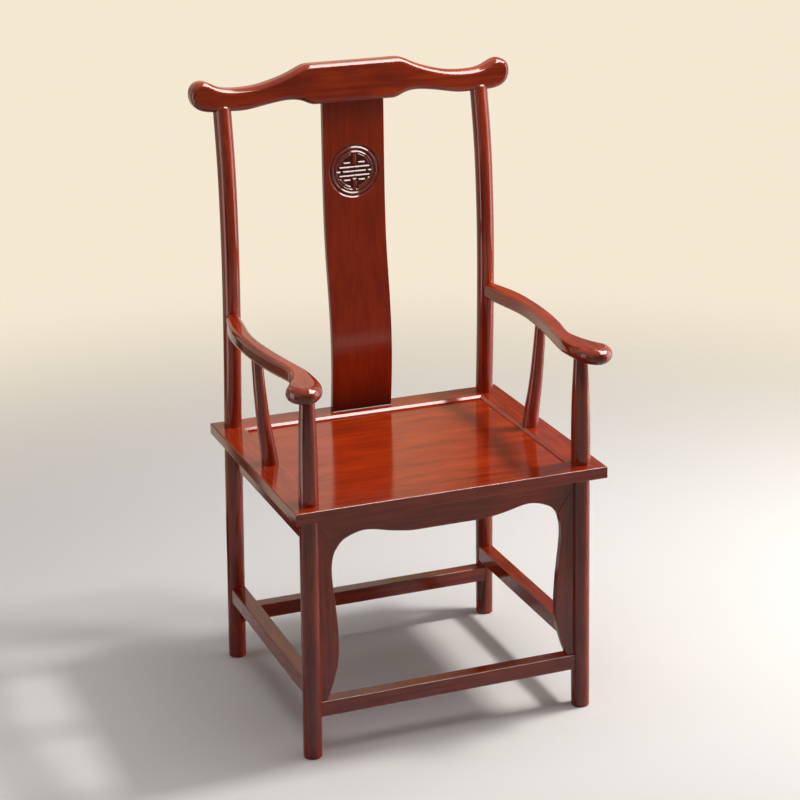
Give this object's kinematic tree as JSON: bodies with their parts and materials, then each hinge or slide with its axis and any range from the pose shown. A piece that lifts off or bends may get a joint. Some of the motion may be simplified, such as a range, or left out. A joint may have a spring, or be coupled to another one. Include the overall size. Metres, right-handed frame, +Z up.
{
  "type": "official hat chair",
  "caption": "Yoke-back armchair in red lacquered hardwood: upturned crest rail, curved splat with a carved roundel, open arms, framed panel seat and a cusped front apron.",
  "frame": {"origin": "centre of the chair's footprint on the floor, at the bottom centre of its bounding box", "axes": "+Z up; the sitter faces -Y, so -Y is the front; +X runs across the chair"},
  "size_m": [0.6251, 0.5291, 1.151],
  "materials": {
    "lacquered_hardwood_frame": "red-brown stain under clear high-gloss lacquer, straight grain along each piece",
    "lacquered_hardwood_splat": "red-brown stain under clear high-gloss lacquer, grain upright, carved roundel",
    "lacquered_hardwood_panel": "orange-red stain under clear high-gloss lacquer, grain from side to side",
    "sealed_hardwood_batten": "stained and thinly sealed, not polished"
  },
  "bodies": {
    "root": {"crest_rail": "lacquered_hardwood_frame", "rear_post_left": "lacquered_hardwood_frame", "rear_post_right": "lacquered_hardwood_frame", "front_leg_left": "lacquered_hardwood_frame", "front_leg_right": "lacquered_hardwood_frame", "armrest_left": "lacquered_hardwood_frame", "armrest_right": "lacquered_hardwood_frame", "arm_spindle_left": "lacquered_hardwood_frame", "arm_spindle_right": "lacquered_hardwood_frame", "seat_rail_front": "lacquered_hardwood_frame", "seat_rail_back": "lacquered_hardwood_frame", "seat_rail_left": "lacquered_hardwood_frame", "seat_rail_right": "lacquered_hardwood_frame", "front_apron_top": "lacquered_hardwood_frame", "front_apron_left": "lacquered_hardwood_frame", "front_apron_right": "lacquered_hardwood_frame", "side_apron_left": "lacquered_hardwood_frame", "side_apron_right": "lacquered_hardwood_frame", "back_apron": "lacquered_hardwood_frame", "stretcher_front": "lacquered_hardwood_frame", "stretcher_back": "lacquered_hardwood_frame", "stretcher_left": "lacquered_hardwood_frame", "stretcher_right": "lacquered_hardwood_frame", "back_splat": "lacquered_hardwood_splat", "seat_panel": "lacquered_hardwood_panel", "seat_batten_1": "sealed_hardwood_batten", "seat_batten_2": "sealed_hardwood_batten"}
  },
  "joints": []
}
